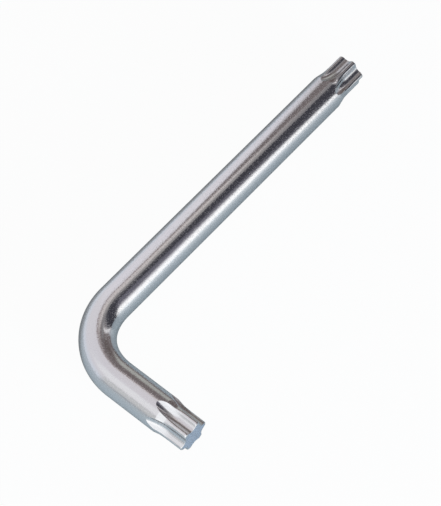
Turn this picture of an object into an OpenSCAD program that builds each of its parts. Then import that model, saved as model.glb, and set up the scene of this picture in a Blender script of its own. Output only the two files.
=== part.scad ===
// Star key: one round steel bar, bent at a right angle, with a six-lobe star tip on each end.
// The key lies flat. The long arm runs along +Y and the short arm along +X, so that it reads as
// a letter L from above. The origin is under the middle of the key's box, on the surface it lies on.

/* [Bar] */
// Diameter of the round bar
bar_d = 9.6; // [9:0.1:12]
// Length of the long arm, from the outer side of the short arm to its end
long_reach = 111.8; // [60:0.1:220]
// Length of the short arm, from the outer side of the long arm to its end
short_reach = 43.2; // [40:0.1:90]
// Radius of the bend, to the middle of the bar
bend_r = 15.1; // [8:0.1:17]

/* [Star] */
// Across two opposite lobes, crest to crest
lobe_across = 8.86; // [8.2:0.02:9.7]
// Across two opposite flutes, floor to floor
flute_across = 6.36; // [5.8:0.02:6.8]
// Radius of a lobe's round crest
lobe_r = 0.775; // [0.6:0.005:0.95]
// Bevel round the end of the lobes
end_bevel = 0.4; // [0.1:0.05:0.7]
// Length of the cone between the star and the full bar
shoulder_len = 2.4; // [1:0.1:4]

/* [Long tip] */
// Length of the star on the long arm, from its end to the cone
long_star_len = 7.0; // [6.5:0.1:12]
// Length of the long arm's flutes at their full depth
long_flute_len = 4.7; // [2:0.1:6]
// Length over which the long arm's flutes rise into the bar
long_runout_len = 5.7; // [4:0.1:10]
// Turn of the long arm's star about the bar
long_star_turn = 13.5; // [0:0.5:59.5]

/* [Short tip] */
// Length of the star on the short arm, from its end to the cone
short_star_len = 6.4; // [6:0.1:12]
// Length of the short arm's flutes at their full depth
short_flute_len = 3.7; // [2:0.1:5.5]
// Length over which the short arm's flutes rise into the bar
short_runout_len = 7.1; // [4:0.1:10]
// Turn of the short arm's star about the bar
short_star_turn = 4.5; // [0:0.5:59.5]

/* [Sections] */
// Plain bar kept on a tip's section past the furthest that its flutes can reach
collar_len = 0.9; // [0.3:0.1:3]

/* [Hidden] */

$fn = 96;
plated_steel = [0.76, 0.77, 0.80];
lobes = 6;
lobe_step = 360 / lobes;
// Overlap of a lobe and a flute, which makes them meet in a clean edge
edge_overlap = 0.005;
// How far a cutter stands out of the metal
cutter_room = 0.5;

bar_r = bar_d / 2;
long_end = long_reach - bar_r;
short_end = short_reach - bar_r;
middle = [(long_reach - bar_d) / 2, (short_reach - bar_d) / 2];

// The star's outline: lobe circles on one ring, flute circles on another, half a step round
lobe_crest_r = lobe_across / 2;
lobe_ring_r = lobe_crest_r - lobe_r;
flute_floor_r = flute_across / 2;
lobe_reach = lobe_r - edge_overlap;
ring_cos = cos(lobe_step / 2);
flute_r = (pow(lobe_reach, 2) - pow(lobe_ring_r, 2) - pow(flute_floor_r, 2)
    + 2 * lobe_ring_r * flute_floor_r * ring_cos)
    / (2 * (flute_floor_r - lobe_ring_r * ring_cos - lobe_reach));
flute_ring_r = flute_floor_r + flute_r;

// The point where a lobe's circle hands over to a flute's circle
lobe_mid = [lobe_ring_r, 0];
flute_mid = flute_ring_r * [ring_cos, sin(lobe_step / 2)];
handover = lobe_mid + lobe_r * (flute_mid - lobe_mid) / norm(flute_mid - lobe_mid);
core_r = norm(handover);
// The core grows to just past the lobes' crests before the cone begins
neck_r = lobe_crest_r + edge_overlap;

// Flutes begin to rise before the star ends, so they are out of the bar within a run-out's length of it
long_tip_len = long_star_len + long_runout_len + collar_len;
short_tip_len = short_star_len + short_runout_len + collar_len;

// Moves a shape from the crossing of the two arms' axes to its place in the key
module placed() {
    translate([-middle[1], -middle[0], bar_r])
        children();
}

// A tip stands on its end face, with the bar running up along +Z
module turned_core(star_len, flute_len, tip_len) {
    rotate_extrude()
        polygon([
            [0, 0],
            [core_r, 0],
            [core_r, flute_len],
            [neck_r, star_len],
            [bar_r, star_len + shoulder_len],
            [bar_r, tip_len],
            [0, tip_len]
        ]);
}

module lobe(star_len) {
    translate([lobe_ring_r, 0, 0])
        cylinder(r = lobe_r, h = star_len + shoulder_len / 2);
}

// A straight round groove that then curves up out of the bar
module flute(flute_len, runout_len) {
    rise = bar_r - flute_floor_r;
    floor_bend_r = (pow(runout_len, 2) + pow(rise, 2)) / (2 * rise);
    path_r = floor_bend_r - flute_r;
    exit_angle = acos(1 - (rise + cutter_room) / floor_bend_r);
    translate([flute_ring_r, 0, -cutter_room])
        cylinder(r = flute_r, h = flute_len + cutter_room);
    translate([flute_ring_r + path_r, 0, flute_len])
        rotate([90, 0, 180])
            rotate_extrude(angle = exit_angle)
                translate([path_r, 0])
                    circle(r = flute_r);
}

module bevel_cutter() {
    outer_r = lobe_crest_r + cutter_room;
    rotate_extrude()
        polygon([
            [lobe_crest_r - end_bevel - cutter_room, -cutter_room],
            [outer_r, -cutter_room],
            [outer_r, end_bevel + cutter_room]
        ]);
}

module star_tip(star_len, flute_len, runout_len, tip_len) {
    difference() {
        union() {
            turned_core(star_len, flute_len, tip_len);
            for (i = [0 : lobes - 1])
                rotate(i * lobe_step)
                    lobe(star_len);
        }
        for (i = [0 : lobes - 1])
            rotate((i + 0.5) * lobe_step)
                flute(flute_len, runout_len);
        bevel_cutter();
    }
}

module long_arm() {
    color(plated_steel)
        placed()
            translate([0, bend_r, 0])
                rotate([-90, 0, 0])
                    cylinder(r = bar_r, h = long_end - long_tip_len - bend_r);
}

module bend() {
    color(plated_steel)
        placed()
            translate([bend_r, bend_r, 0])
                rotate(180)
                    rotate_extrude(angle = 90)
                        translate([bend_r, 0])
                            circle(r = bar_r);
}

module short_arm() {
    color(plated_steel)
        placed()
            translate([bend_r, 0, 0])
                rotate([0, 90, 0])
                    cylinder(r = bar_r, h = short_end - short_tip_len - bend_r);
}

module long_star_tip() {
    color(plated_steel)
        placed()
            translate([0, long_end, 0])
                rotate([90, 0, 0])
                    rotate(long_star_turn)
                        star_tip(long_star_len, long_flute_len, long_runout_len, long_tip_len);
}

module short_star_tip() {
    color(plated_steel)
        placed()
            translate([short_end, 0, 0])
                rotate([0, -90, 0])
                    rotate(90 - short_star_turn)
                        star_tip(short_star_len, short_flute_len, short_runout_len, short_tip_len);
}

long_arm();
bend();
short_arm();
long_star_tip();
short_star_tip();
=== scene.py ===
# %% [markdown]
# # A star key
#
# This lesson dresses a star key: one round steel bar, bent at a right angle, with a six-lobe star
# cut into each end. The CAD model already fixes every size, so the first step is to load it. What
# follows is in metres, and replaces each plain solid by a finer mesh of the same shape with a plated
# finish.

# %% Load the key's frame
from math import cos, degrees, pi, radians, sin

import bpy
import numpy as np
from mathutils import Matrix, Vector


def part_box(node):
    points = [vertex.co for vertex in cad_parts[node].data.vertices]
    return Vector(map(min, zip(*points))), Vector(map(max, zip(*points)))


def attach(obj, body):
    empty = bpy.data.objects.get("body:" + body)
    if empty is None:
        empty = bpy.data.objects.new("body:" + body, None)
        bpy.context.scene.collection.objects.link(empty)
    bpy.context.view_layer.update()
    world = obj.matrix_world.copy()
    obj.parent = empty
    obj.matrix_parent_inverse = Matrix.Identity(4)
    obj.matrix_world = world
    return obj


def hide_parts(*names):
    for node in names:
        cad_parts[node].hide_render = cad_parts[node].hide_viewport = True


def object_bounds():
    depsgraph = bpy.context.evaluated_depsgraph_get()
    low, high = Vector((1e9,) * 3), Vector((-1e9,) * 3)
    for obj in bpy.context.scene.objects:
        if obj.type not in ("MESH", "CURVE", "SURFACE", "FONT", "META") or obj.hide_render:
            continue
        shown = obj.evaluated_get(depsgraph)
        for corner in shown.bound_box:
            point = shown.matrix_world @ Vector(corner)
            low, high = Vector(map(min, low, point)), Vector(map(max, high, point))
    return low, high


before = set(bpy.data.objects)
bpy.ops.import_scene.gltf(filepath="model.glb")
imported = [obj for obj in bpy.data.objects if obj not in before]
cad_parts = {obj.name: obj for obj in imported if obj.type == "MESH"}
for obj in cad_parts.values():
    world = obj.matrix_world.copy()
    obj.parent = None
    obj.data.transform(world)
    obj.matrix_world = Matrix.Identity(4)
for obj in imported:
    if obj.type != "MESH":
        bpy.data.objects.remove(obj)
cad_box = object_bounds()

MM = 0.001
print("pieces of the key:", sorted(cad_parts))

# %% [markdown]
# ## Sizes read from the frame
#
# The bar's thickness, the lines that its two arms run along and the bend's radius can all be read
# from the boxes of the CAD pieces. Reading them here, instead of writing them again, keeps the mesh
# true to the model if someone changes a size there.

# %% Measure the bar
bend_low, bend_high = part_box("bend")
long_low, long_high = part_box("long_arm")
short_low, short_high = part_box("short_arm")
long_tip_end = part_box("long_star_tip")[1].y
short_tip_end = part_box("short_star_tip")[1].x

bar_r = (cad_box[1].z - cad_box[0].z) / 2
bar_z = (cad_box[1].z + cad_box[0].z) / 2
long_x = (long_low.x + long_high.x) / 2
short_y = (short_low.y + short_high.y) / 2
bend_r = bend_high.x - long_x

# Lengths along the bar's middle line, from the long arm's end face
bend_start = long_tip_end - bend_high.y
bend_end = bend_start + bend_r * pi / 2
bar_end = bend_end + short_tip_end - bend_high.x
long_tip_len = long_tip_end - long_high.y
short_tip_len = short_tip_end - short_high.x
print("bar %.2f mm thick, %.1f mm long along its middle" % (2 * bar_r / MM, bar_end / MM))

# %% [markdown]
# ## The camera
#
# The key was photographed from well above with a long lens, so that its two arms hardly shrink with
# distance. An orbit round a target point (an azimuth, an elevation and a distance) says this with
# three numbers that can be changed one at a time, which is easier than a location and three angles.

# %% Place the camera
azimuth = radians(41.81)
elevation = radians(58.17)
roll = radians(-1.69)
distance = 482.7 * MM
target = Vector((-6.18 * MM, -8.77 * MM, bar_z))

back = Vector((sin(azimuth) * cos(elevation), -cos(azimuth) * cos(elevation), sin(elevation)))
camera = bpy.data.objects.new("camera", bpy.data.cameras.new("camera"))
camera.data.lens = 139.4
camera.data.sensor_width = 36
camera.data.clip_start = 0.01
turn = back.to_track_quat("Z", "Y").to_matrix().to_4x4()
camera.matrix_world = Matrix.Translation(target + back * distance) @ turn @ Matrix.Rotation(roll, 4, "Z")
bpy.context.scene.collection.objects.link(camera)
bpy.context.scene.camera = camera
bpy.context.scene.view_settings.view_transform = "Standard"
print("camera at", [round(x, 3) for x in camera.matrix_world.translation])

# %% [markdown]
# ## Shader sums written as sums
#
# A finish is mostly arithmetic on patterns: a noise times a strength, one minus a mask. Wiring Math
# nodes by hand hides that arithmetic, so this class wraps a node's output socket and adds the Math
# node whenever two of them are added, multiplied and so on. Any other node comes from `node`.

# %% A socket that does sums
class Wire:
    """An output socket of a node tree that takes part in sums as a number does."""

    def __init__(self, tree, socket=None):
        self.tree = tree
        self.socket = socket

    def node(self, kind, settings=None, inputs=None, out=0):
        """Adds a node: first its settings, then the values or links of its sockets."""
        made = self.tree.nodes.new("ShaderNode" + kind)
        for name, value in (settings or {}).items():
            setattr(made, name, value)
        for key, value in (inputs or {}).items():
            if isinstance(value, Wire):
                self.tree.links.new(value.socket, made.inputs[key])
            else:
                made.inputs[key].default_value = value
        return Wire(self.tree, made.outputs[out] if made.outputs else None)

    def math(self, operation, first, second=0.0):
        return self.node("Math", {"operation": operation}, {0: first, 1: second})

    def __add__(self, other):
        return self.math("ADD", self, other)

    def __sub__(self, other):
        return self.math("SUBTRACT", self, other)

    def __rsub__(self, other):
        return self.math("SUBTRACT", other, self)

    def __mul__(self, other):
        return self.math("MULTIPLY", self, other)

    __radd__ = __add__
    __rmul__ = __mul__

    def rise(self, edge, soft):
        """A mask that goes smoothly from 0 to 1 as the value passes an edge."""
        return self.node("MapRange", {"interpolation_type": "SMOOTHSTEP"},
                         {"Value": self, "From Min": edge - soft / 2, "From Max": edge + soft / 2})

    def mix(self, without, with_it):
        """A colour: the first where this mask is 0, the second where it is 1."""
        return self.node("Mix", {"data_type": "RGBA"}, {0: self, 6: without, 7: with_it}, out=2)


def new_shader(name):
    """A new material's empty node tree, and the material."""
    material = bpy.data.materials.new(name)
    material.use_nodes = True
    material.node_tree.nodes.clear()
    return material, Wire(material.node_tree)


print("sums on sockets are ready")

# %% [markdown]
# ## The plated steel
#
# The bar is drawn through a die, which leaves fine lines along it, and then plated. Plating follows
# each small pit and grain of the steel, so a reflection's edge breaks up into speckle when seen
# close to. The lines were made while the bar was still straight. So each mesh point will carry, in
# an attribute, the place that it had on the straight bar in millimetres, and every pattern here
# reads that place: the lines then follow the bend as the real ones do. A second attribute tells
# bar as it was drawn from a flute and from an end face.

# %% Patterns on the straight bar
STRAIGHT = "straight_bar"
CUT = "cut"
AS_DRAWN, FLUTED, CUT_OFF = 0.0, 1.0, 2.0


def stretched_noise(place, around, along, detail, seed):
    """Noise with so many grains to a millimetre around the bar and along it."""
    grains = (around, around, along)
    vector = place.node("VectorMath", {"operation": "MULTIPLY"}, {0: place, 1: grains})
    moved = place.node("VectorMath", {"operation": "ADD"}, {0: vector, 1: (seed, seed, seed)})
    return place.node("TexNoise", {}, {"Vector": moved, "Scale": 1.0, "Detail": detail})


print("patterns read the attributes", STRAIGHT, "and", CUT)

# %% [markdown]
# The finish adds these patterns up. Draw lines, grain and pits make the plating rougher in places and
# also lift it a little, which the Bump node turns into a tilted surface. The milled flutes are rougher,
# and the end faces are duller and bluer. The Specular Tint is a metal's tint at glancing angles: a grey
# there makes the thin edges of the bar mirror less than a perfect metal would.

# %% Mix the plated steel
COOL_STEEL = (0.79, 0.79, 0.815, 1.0)
WARM_STEEL = (0.81, 0.805, 0.815, 1.0)
END_STEEL = (0.78, 0.84, 0.97, 1.0)
EDGE_TINT = (0.69, 0.68, 0.67, 1.0)
GRAIN_DEPTH = 0.03 * MM


def plated_steel():
    """Bright plating on a drawn bar, with rougher flutes and duller end faces."""
    material, start = new_shader("plated_steel")
    place = start.node("Attribute", {"attribute_name": STRAIGHT}, out="Vector")
    cut = start.node("Attribute", {"attribute_name": CUT}, out="Fac")

    # Draw lines, fine grain, wide clouds of another tint, and small pits
    lines = stretched_noise(place, around=3.2, along=0.045, detail=3.0, seed=3.7)
    grain = stretched_noise(place, around=4.4, along=3.8, detail=1.0, seed=11.3)
    clouds = stretched_noise(place, around=0.16, along=0.06, detail=2.0, seed=27.1)
    specks = stretched_noise(place, around=4.0, along=3.6, detail=0.0, seed=41.9).rise(0.61, 0.16)
    flute = cut.rise((AS_DRAWN + FLUTED) / 2, 0.5)
    end = cut.rise((FLUTED + CUT_OFF) / 2, 0.5)

    tint = clouds.rise(0.5, 0.5).mix(COOL_STEEL, WARM_STEEL)
    colour = end.mix(tint, END_STEEL)
    drawn = 0.05 + lines * 0.02 + grain.rise(0.62, 0.2) * 0.06
    roughness = drawn + specks * (0.21 - 0.08 * cut) + flute * 0.08 + end * 0.25
    height = lines * 0.07 + grain * 0.14 + specks * (0.125 - 0.05 * cut)
    bump = start.node("Bump", {}, {"Height": height, "Strength": 1.0, "Distance": GRAIN_DEPTH})
    plating = start.node("BsdfPrincipled", {}, {
        "Base Color": colour, "Metallic": 1.0, "Roughness": roughness, "Normal": bump,
        "Specular Tint": EDGE_TINT})
    start.node("OutputMaterial", {}, {"Surface": plating})
    return material


steel = plated_steel()
print("plated steel has", len(steel.node_tree.nodes), "nodes")

# %% [markdown]
# ## From the straight bar to the bent one
#
# Every piece of the key is a stretch of one bar. A curve with a bevel could sweep it, but then the
# star's changing section could not follow the same path. So one function takes a place on the
# straight bar (a length along it, a radius and an angle round it) to its place in the key, and
# every mesh point goes through it.

# %% Bend a point of the bar
def bent(along, radius, angle):
    """Points of the key, from lengths along the bar, radii and angles up from its inner side."""
    along, radius, angle = np.broadcast_arrays(along, radius, angle)
    swing = np.clip((along - bend_start) / bend_r, 0, pi / 2)
    inner_x = np.cos(swing)
    inner_y = np.sin(swing)
    before = np.minimum(along - bend_start, 0)
    after = np.maximum(along - bend_end, 0)
    middle_x = long_x + bend_r * (1 - inner_x) + after
    middle_y = short_y + bend_r * (1 - inner_y) - before
    out = radius * np.cos(angle)
    up = radius * np.sin(angle)
    return np.stack([middle_x + out * inner_x, middle_y + out * inner_y, bar_z + up], -1)


print("the bar's two ends are at", bent(0.0, 0.0, 0.0).round(4), bent(bar_end, 0.0, 0.0).round(4))

# %% [markdown]
# ## A skin over rings of points
#
# A stretch of the bar is a row of rings joined by four-sided faces, closed by a cap at each end.
# Building the faces from a grid of point numbers keeps the mesh clean, with faces that run along
# and round the bar as its light does. A cap between two stretches is flat and meets the side in a
# sharp edge, so that the side shades as if it ran on into the next piece.

# %% Skin a row of rings
def skin(name, along, radius, angle, cut, sharp_rings):
    """A closed mesh over rings of points, given as arrays of one row to a ring."""
    rings, count = radius.shape
    along = np.broadcast_to(along, radius.shape)
    corner = np.arange(rings * count).reshape(rings, count)
    beside = np.roll(corner, -1, axis=1)
    sides = np.stack([corner[:-1], beside[:-1], beside[1:], corner[1:]], -1).reshape(-1, 4)
    faces = sides.tolist()
    faces.append(corner[0, ::-1].tolist())
    faces.append(corner[-1].tolist())

    mesh = bpy.data.meshes.new(name)
    mesh.from_pydata(bent(along, radius, angle).reshape(-1, 3), [], faces)
    straight = np.stack([radius * np.cos(angle), radius * np.sin(angle), along], -1) / MM
    places = mesh.attributes.new(STRAIGHT, "FLOAT_VECTOR", "POINT")
    places.data.foreach_set("vector", straight.ravel())
    cuts = mesh.attributes.new(CUT, "FLOAT", "POINT")
    cuts.data.foreach_set("value", np.broadcast_to(cut, radius.shape).ravel())
    mesh.shade_smooth()
    for edge in mesh.edges:
        ring = edge.vertices[0] // count
        edge.use_edge_sharp = ring in sharp_rings and edge.vertices[1] // count == ring

    piece = bpy.data.objects.new(name + "_plated", mesh)
    bpy.context.scene.collection.objects.link(piece)
    mesh.materials.append(steel)
    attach(piece, "root")
    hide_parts(name)
    print("%s: %d points, %d faces" % (piece.name, len(mesh.vertices), len(mesh.polygons)))


print("rings can be skinned")

# %% [markdown]
# ## The two arms and the bend
#
# These three are plain round bar. They could be cylinders and a torus, but as rings on the bent
# path they share the star tips' coordinates, so that the drawn lines run through from end to end.
# Where the bar was forced round the bending roller, its inner side is pressed a little flatter.

# %% Make the arms and the bend
BAR_POINTS = 192


def plain_bar(name, first, last, rings, inner_dent=0.0):
    """A stretch of round bar; a dent is deepest on the inner side, half-way along."""
    along = np.linspace(first, last, rings)[:, None]
    angle = np.linspace(0, 2 * pi, BAR_POINTS, endpoint=False)[None, :]
    inner_side = np.maximum(np.cos(angle), 0) ** 2
    middle = np.sin(pi * (along - first) / (last - first)) ** 2
    radius = bar_r - inner_dent * inner_side * middle
    angle = np.broadcast_to(angle, radius.shape)
    skin(name, along, radius, angle, AS_DRAWN, sharp_rings=(0, rings - 1))


plain_bar("long_arm", long_tip_len, bend_start, rings=60)
plain_bar("bend", bend_start, bend_end, rings=121, inner_dent=0.37 * MM)
plain_bar("short_arm", bend_end, bar_end - short_tip_len, rings=20)

# %% [markdown]
# ## The star tips
#
# A star tip is turned down a little at the end, and six flutes are then milled along it. Each flute
# ends in a run-out, where the cutter swings up out of the steel and leaves a leaf-shaped mouth.
# Cutting these with booleans would leave ragged triangles and hard edges. Here the section is worked
# out instead: at each distance from the end face, a flute's round floor, the rounding of its lip and
# the turned crest are three arcs that touch each other, and each ring's points are shared out among
# them. The mesh lines then follow the flutes' lips, which is where the light breaks. A box can't tell
# a star's sizes, so those of the CAD model are written again here, with two fine roundings.

# %% Sizes of the star
lobes = 6
half_lobe = pi / lobes
crest_r = 8.86 / 2 * MM
floor_r = 6.36 / 2 * MM
lobe_round = 0.775 * MM
end_round = 0.4 * MM
shoulder_len = 2.4 * MM
# The fine roundings: along a flute's lip in the full bar, and round the rim of the end face
lip_round = 0.15 * MM
rim_round = 0.1 * MM

# The flute's radius follows from a lobe's circle and a flute's circle touching, half a lobe apart
lobe_ring = crest_r - lobe_round
reach = lobe_ring * cos(half_lobe)
flute_r = ((lobe_round ** 2 - lobe_ring ** 2 - floor_r ** 2 + 2 * reach * floor_r)
           / (2 * (floor_r - reach - lobe_round)))
print("flute radius %.3f mm" % (flute_r / MM))

# %% [markdown]
# The turned outline comes first: the crest with its rounded end, then a soft cone up to the full
# bar. After that comes the floor of the flute, which is level and then leaves along an arc.

# %% Turned outline and flute floor
def ease(t):
    """Goes from 0 to 1 in a straight line with softened ends."""
    t = np.clip(t, 0, 1)
    return 0.5 * t + 0.5 * t * t * (3 - 2 * t)


def corner_loss(z, radius):
    """How much a rounded corner takes off at a distance from the end face."""
    short = np.clip(1 - z / radius, 0, 1)
    return radius * (1 - np.sqrt(1 - short ** 2))


def turned(z, star_len):
    """Radius of the turned tip at a distance from its end face."""
    cone = ease((z - star_len) / shoulder_len)
    return crest_r + (bar_r - crest_r) * cone - corner_loss(z, end_round)


def flute_floor(z, flute_len, runout_len):
    """Distance of a flute's floor from the bar's middle; the arc stops short of a quarter turn."""
    climb = bar_r - floor_r
    swing_r = (runout_len ** 2 + climb ** 2) / (2 * climb)
    past = np.clip(z - flute_len, 0, 0.999 * swing_r)
    return floor_r + swing_r - np.sqrt(swing_r ** 2 - past ** 2)


print("crest %.2f mm and floor %.2f mm from the middle" % (crest_r / MM, floor_r / MM))

# %% [markdown]
# Now the section. For one ring, `arcs` finds where the flute's arc hands over to the lip's arc and
# the lip's arc to the crest, as angles from the middle of the flute. `section` then gives the radius
# at any angle. Past the mouth of the flute both angles have shrunk to nothing, and the section is
# round.

# %% The star's section
LEAST_DEPTH = 0.0001 * MM


def arcs(outer, floor, lip):
    """Angles from a flute's middle to the start and the end of its lip."""
    lip_mid = outer - lip
    flute_mid = floor + flute_r
    touch = flute_r + lip
    open_flute = floor < outer - LEAST_DEPTH
    cosine = (lip_mid ** 2 + flute_mid ** 2 - touch ** 2) / (2 * lip_mid * flute_mid)
    lip_angle = np.minimum(np.arccos(np.clip(cosine, -1, 1)), half_lobe)
    share = flute_r / touch
    x = flute_mid + share * (lip_mid * np.cos(lip_angle) - flute_mid)
    y = share * lip_mid * np.sin(lip_angle)
    return np.where(open_flute, np.arctan2(y, x), 0), np.where(open_flute, lip_angle, 0)


def half_chord(radius, off):
    """Half of the line that a circle cuts off, where the line passes its middle at a distance."""
    return np.sqrt(np.maximum(radius ** 2 - off ** 2, 0))


def section(u, outer, floor, lip, lip_start, lip_end):
    """Radius at an angle u from a flute's middle."""
    flute_mid = floor + flute_r
    lip_mid = outer - lip
    in_flute = flute_mid * np.cos(u) - half_chord(flute_r, flute_mid * np.sin(u))
    off = u - lip_end
    on_lip = lip_mid * np.cos(off) + half_chord(lip, lip_mid * np.sin(off))
    return np.where(u < lip_start, in_flute, np.where(u < lip_end, on_lip, outer))


level_arcs = [degrees(angle) for angle in arcs(crest_r, floor_r, lobe_round)]
print("a lobe's arc runs from %.1f to %.1f degrees off the flute's middle" % tuple(level_arcs))

# %% [markdown]
# A ring has the same number of points in every arc: ten half-way across the flute, eight on the lip
# and six on the crest. No arc gets narrower than a small angle, so that its points never fall
# together. The rings lie close together on the rounded end and at the flutes' mouths, and further
# apart between.

# %% Share out a tip's points and rings
FLUTE_POINTS, LIP_POINTS, CREST_POINTS = 10, 8, 6
END_RINGS, LEVEL_RINGS, MOUTH_RINGS, COLLAR_RINGS = 15, 12, 70, 8
narrowest = radians(0.6)
least_crest = 4 * narrowest


def shared_out(first, last, count):
    """Points from a first to a last angle, one column each, without the last."""
    return first + (last - first) * np.arange(count)[None, :] / count


def half_lobe_angles(lip_start, lip_end):
    """Angles of a ring's points from the middle of a flute up to the middle of a lobe."""
    lip_start = np.maximum(lip_start, narrowest)
    lip_end = np.clip(lip_end, lip_start + narrowest, half_lobe - least_crest)
    return np.concatenate([
        shared_out(0.0, lip_start, FLUTE_POINTS),
        shared_out(lip_start, lip_end, LIP_POINTS),
        shared_out(lip_end, half_lobe, CREST_POINTS)], axis=1)


def tip_stations(tip_len, flute_len, runout_len):
    """Distances of a tip's rings from its end face."""
    rounded = end_round * (1 - np.cos(np.linspace(0, pi / 2, END_RINGS)))
    level = np.linspace(end_round, flute_len, LEVEL_RINGS)[1:]
    mouth = flute_len + runout_len * np.sin(np.linspace(0, pi / 2, MOUTH_RINGS))[1:]
    collar = np.linspace(flute_len + runout_len, tip_len, COLLAR_RINGS)[1:]
    return np.concatenate([rounded, level, mouth, collar])[:, None]


half_lobe_points = FLUTE_POINTS + LIP_POINTS + CREST_POINTS
print("each of the", 2 * lobes, "half lobes of a ring has", half_lobe_points, "points")

# %% [markdown]
# Twelve half lobes make a ring, every second one mirrored. Along the level flute the lip is as round
# as a lobe. From there to the end of the cone it sharpens to the fine rounding that it has in the full
# bar. The end face is closed by smaller and smaller rings.

# %% Make the star tips
# Radii of the end face's rings, as shares of its rim
FACE_RINGS = [0.06, 0.25, 0.5, 0.75, 0.9, 0.97]
flute_depth = 0.02 * MM


def star_tip(name, tip_len, star_len, flute_len, runout_len, star_turn, from_long_end):
    """A fluted tip; what lies deeper than flute_depth under the turned outline counts as fluted."""
    z = tip_stations(tip_len, flute_len, runout_len)
    outer = turned(z, star_len)
    floor = flute_floor(z, flute_len, runout_len)
    sharpened = ease((z - flute_len) / (star_len + shoulder_len - flute_len))
    lip = lobe_round + (lip_round - lobe_round) * sharpened
    lip_start, lip_end = arcs(outer, floor, lip)

    u = half_lobe_angles(lip_start, lip_end)
    half = section(u, outer, floor, lip, lip_start, lip_end)
    crest_u = np.full_like(z, half_lobe)
    crest = np.minimum(section(crest_u, outer, floor, lip, lip_start, lip_end), outer)
    lobe_u = np.concatenate([u, crest_u, 2 * half_lobe - u[:, :0:-1]], axis=1)
    lobe_radius = np.concatenate([half, crest, half[:, :0:-1]], axis=1)
    first_flute = star_turn + half_lobe
    angle = np.concatenate([first_flute + lobe_u + 2 * half_lobe * k for k in range(lobes)], axis=1)
    radius = np.tile(lobe_radius, lobes) - corner_loss(z, rim_round)
    cut = np.where(outer - radius > flute_depth, FLUTED, AS_DRAWN)

    face = np.array(FACE_RINGS)[:, None]
    face_radius = radius[0] * face
    radius = np.concatenate([face_radius, radius])
    angle = np.concatenate([np.repeat(angle[:1], len(face), axis=0), angle])
    cut = np.concatenate([np.full_like(face_radius, CUT_OFF), cut])
    z = np.concatenate([np.zeros_like(face), z])
    if from_long_end:
        skin(name, z, radius, angle, cut, sharp_rings=(len(z) - 1,))
    else:
        skin(name, bar_end - z[::-1], radius[::-1], angle[::-1], cut[::-1], sharp_rings=(0,))


star_tip("long_star_tip", long_tip_len, star_len=7.0 * MM, flute_len=4.7 * MM, runout_len=5.7 * MM,
         star_turn=radians(13.5), from_long_end=True)
star_tip("short_star_tip", short_tip_len, star_len=6.4 * MM, flute_len=3.7 * MM, runout_len=7.1 * MM,
         star_turn=radians(4.5), from_long_end=False)

# %% [markdown]
# ## The floor
#
# The key lies on a pale, faintly blue plastic sheet with a half-gloss face. The metal mirrors it, as
# a dull blue-grey close by and brighter far off, where the sheet itself mirrors the tent. The camera
# should see a white page instead. Light Path tells the two apart: rays from the camera get mostly a
# white glow, rays mirrored by the metal get a little of it, and the rest is the sheet, which takes
# the key's shadow.

# %% Lay the floor
TENT_R = 0.7
CAMERA_GLOW, MIRRORED_GLOW = 0.965, 0.04
WHITE = (1.0, 1.0, 1.0, 1.0)


def disc(name, radius, points=96):
    """A flat round sheet."""
    mesh = bpy.data.meshes.new(name)
    angles = [2 * pi * k / points for k in range(points)]
    ring = [(radius * cos(angle), radius * sin(angle), 0) for angle in angles]
    mesh.from_pydata(ring, [], [list(range(points))])
    piece = bpy.data.objects.new(name, mesh)
    bpy.context.scene.collection.objects.link(piece)
    return piece


def pale_sheet():
    """Half-gloss plastic that glows white, more for the camera than for the metal."""
    material, start = new_shader("pale_sheet")
    camera_ray = start.node("LightPath", out="Is Camera Ray")
    glossy_ray = start.node("LightPath", out="Is Glossy Ray")
    clear_ray = start.node("LightPath", out="Is Transmission Ray")
    seen = camera_ray * CAMERA_GLOW + (glossy_ray + clear_ray) * MIRRORED_GLOW
    sheet = start.node("BsdfPrincipled", {}, {
        "Base Color": (0.366, 0.42, 0.441, 1.0), "Roughness": 0.28, "IOR": 1.42})
    glow = start.node("Emission", {}, {"Color": WHITE, "Strength": 1.0})
    both = start.node("MixShader", {}, {0: seen, 1: sheet, 2: glow})
    start.node("OutputMaterial", {}, {"Surface": both})
    return material


floor = disc("floor", TENT_R)
floor.data.materials.append(pale_sheet())
print("floor is", 2 * TENT_R, "m across")

# %% [markdown]
# ## The light tent
#
# Bright metal has hardly any look of its own: it shows what stands round it. Product photographers
# put such things in a tent of white cloth, and hang dark and bright cards in it to draw the edges.
# This tent is a dome that glows softly. A place on it is given by a compass angle, with 0 on the
# right along +X and 90 at the back along +Y, and by a height over the floor, both in degrees.

# %% Directions in the tent
def directions(start):
    """Compass angle and height of a place on the tent, seen from its middle."""
    place = start.node("NewGeometry", out="Position")
    direction = start.node("VectorMath", {"operation": "NORMALIZE"}, {0: place})
    xyz = start.node("SeparateXYZ", {}, {"Vector": direction})
    x, y, z = (Wire(start.tree, socket) for socket in xyz.socket.node.outputs)
    compass = start.math("ARCTAN2", y, x) * degrees(1)
    height = start.math("ARCSINE", z) * degrees(1)
    return compass, height


tip_compass = degrees(np.arctan2(long_tip_end, long_x))
print("the long arm's tip lies at compass angle %.0f" % tip_compass)

# %% [markdown]
# Each card is a patch of the tent between two compass angles and two heights, with soft edges, and
# lies over what was hung before it. One that leans shifts sideways as it goes up. Lamps alone could
# light the key as well, but only a surround gives the metal something to mirror on every side.

# %% Hang the cards in the tent
PAST_TOP = 150


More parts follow.
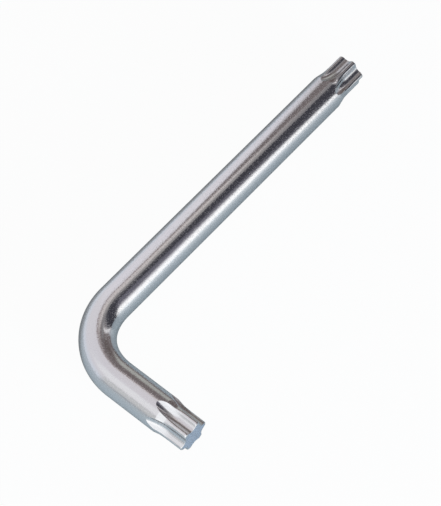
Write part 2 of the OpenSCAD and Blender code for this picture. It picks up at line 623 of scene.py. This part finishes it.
def tent_cloth():
    """Glowing cloth with its cards; a card that ends past the top of the tent has no upper edge."""
    material, start = new_shader("tent_cloth")
    compass, height = directions(start)

    def card(left, right, low, high, soft_side, soft_top, lean=0.0):
        along = compass - height * lean
        across = along.rise(left, soft_side) * (1 - along.rise(right, soft_side))
        return across * height.rise(low, soft_top) * (1 - height.rise(high, soft_top))

    # The bare cloth, bluer low down, with a brighter stretch on the left and one at the front left
    cloth = height.rise(14, 26).mix((0.72, 0.77, 0.84, 1.0), (0.75, 0.735, 0.77, 1.0))
    cloth = height.rise(58, 24).mix(cloth, (0.735, 0.71, 0.74, 1.0))
    cloth = card(138, 163, 12, 48, 14, 16).mix(cloth, (0.81, 0.79, 0.835, 1.0))
    cloth = card(-142, -100, 32, 58, 24, 10).mix(cloth, (0.865, 0.865, 0.88, 1.0))
    # A low grey card at the front, darkest at the floor
    low_grey = height.rise(7, 12).mix((0.42, 0.445, 0.475, 1.0), (0.61, 0.62, 0.625, 1.0))
    cloth = card(-119, -97, -20, 29, 8, 6).mix(cloth, low_grey)
    # A grey ceiling, paler at the back
    cloth = card(-74, 116, 57, PAST_TOP, 30, 10, -0.10).mix(cloth, (0.35, 0.337, 0.333, 1.0))
    cloth = card(100, 144, 57, PAST_TOP, 22, 8).mix(cloth, (0.655, 0.61, 0.595, 1.0))
    # The brown back wall: a lighter upper part, a dark patch, a beige patch, and a rail along its top
    cloth = card(76, 147.5, -35, 60.3, 10, 6.5, -0.14).mix(cloth, (0.185, 0.158, 0.158, 1.0))
    cloth = card(68, 99, 43, 60, 10, 8).mix(cloth, (0.27, 0.262, 0.268, 1.0))
    cloth = card(84, 103, 24, 46, 8, 12, 0.2).mix(cloth, (0.135, 0.11, 0.105, 1.0))
    cloth = card(93, 124, 9, 34, 10, 12, 0.6).mix(cloth, (0.45, 0.455, 0.425, 1.0))
    cloth = card(126, 154, 59.2, 63.2, 14, 4).mix(cloth, (0.29, 0.24, 0.24, 1.0))
    # A dark card at the back right, a greyer one high on the right, and a narrow bright gap by the wall
    cloth = card(29.6, 71.2, -10, 72.4, 12, 24).mix(cloth, (0.052, 0.052, 0.064, 1.0))
    cloth = card(-5, 42.4, 32, 74.5, 10, 22, -0.16).mix(cloth, (0.155, 0.152, 0.187, 1.0))
    cloth = card(62.5, 68, 1, 44, 5, 22, 0.38).mix(cloth, (1.0, 0.99, 1.0, 1.0))
    # A tall bright box at the front right, and a brighter low one across the right
    cloth = card(-95, -8, -12, 84, 12, 14, -0.21).mix(cloth, (1.06, 1.08, 1.09, 1.0))
    cloth = card(-86, 38.5, -1, 24, 10, 20, -0.22).mix(cloth, (1.24, 1.25, 1.25, 1.0))
    glow = start.node("Emission", {}, {"Color": cloth, "Strength": 1.0})
    start.node("OutputMaterial", {}, {"Surface": glow})
    return material


cloth_material = tent_cloth()
print("the tent's cloth has", len(cloth_material.node_tree.nodes), "nodes")

# %% [markdown]
# The dome itself is a half ball that starts just below the floor, so that no light gets in between.
# The camera must not see it, or a low view would show cards instead of a white page.

# %% Put up the tent
def dome(name, radius, rings=24, points=96):
    """The upper half of a ball and a little more, as rows of faces up to a small cap."""
    rise = np.linspace(radians(-2), pi / 2, rings, endpoint=False)[:, None]
    turn = np.linspace(0, 2 * pi, points, endpoint=False)[None, :]
    level = np.cos(rise)
    ball = np.stack(np.broadcast_arrays(level * np.cos(turn), level * np.sin(turn), np.sin(rise)), -1)
    corner = np.arange(rings * points).reshape(rings, points)
    beside = np.roll(corner, -1, axis=1)
    sides = np.stack([corner[:-1], beside[:-1], beside[1:], corner[1:]], -1).reshape(-1, 4)
    faces = sides.tolist()
    faces.append(corner[-1].tolist())
    mesh = bpy.data.meshes.new(name)
    mesh.from_pydata(ball.reshape(-1, 3) * radius, [], faces)
    piece = bpy.data.objects.new(name, mesh)
    bpy.context.scene.collection.objects.link(piece)
    return piece


tent = dome("light_tent", TENT_R)
tent.data.materials.append(cloth_material)
tent.visible_camera = False
print("tent hangs", TENT_R, "m from the key")

# %% [markdown]
# ## A low lamp
#
# The tent alone would light the floor evenly. One soft lamp, low down on the right, gives the floor
# a side of shadow: left of the long arm the metal then mirrors a darker floor, and that draws its
# edge against the white page. The metal does not mirror the lamp itself.

# %% Set up the lamp
lamp_compass = radians(-8)
lamp_height = radians(8)
lamp_away = 0.55
lamp_level = cos(lamp_height)
aim = Vector((cos(lamp_compass) * lamp_level, sin(lamp_compass) * lamp_level, sin(lamp_height)))
lamp = bpy.data.objects.new("low_lamp", bpy.data.lights.new("low_lamp", "AREA"))
lamp.data.shape = "DISK"
lamp.data.size = 0.12
lamp.data.energy = 11.0
lamp.data.color = (0.78, 0.9, 1.0)
facing = aim.to_track_quat("Z", "Y").to_matrix().to_4x4()
lamp.matrix_world = Matrix.Translation(aim * lamp_away) @ facing
lamp.visible_glossy = False
bpy.context.scene.collection.objects.link(lamp)
print("lamp at", [round(x, 3) for x in lamp.matrix_world.translation])

# %% [markdown]
# ## The white page
#
# The camera looks out through the tent's cloth, at a plain white world.

# %% Colour the world
world = bpy.data.worlds.new("white_page")
world.use_nodes = True
bpy.context.scene.world = world
world.node_tree.nodes["Background"].inputs["Color"].default_value = WHITE
world.node_tree.nodes["Background"].inputs["Strength"].default_value = 1.0
print("world is white")
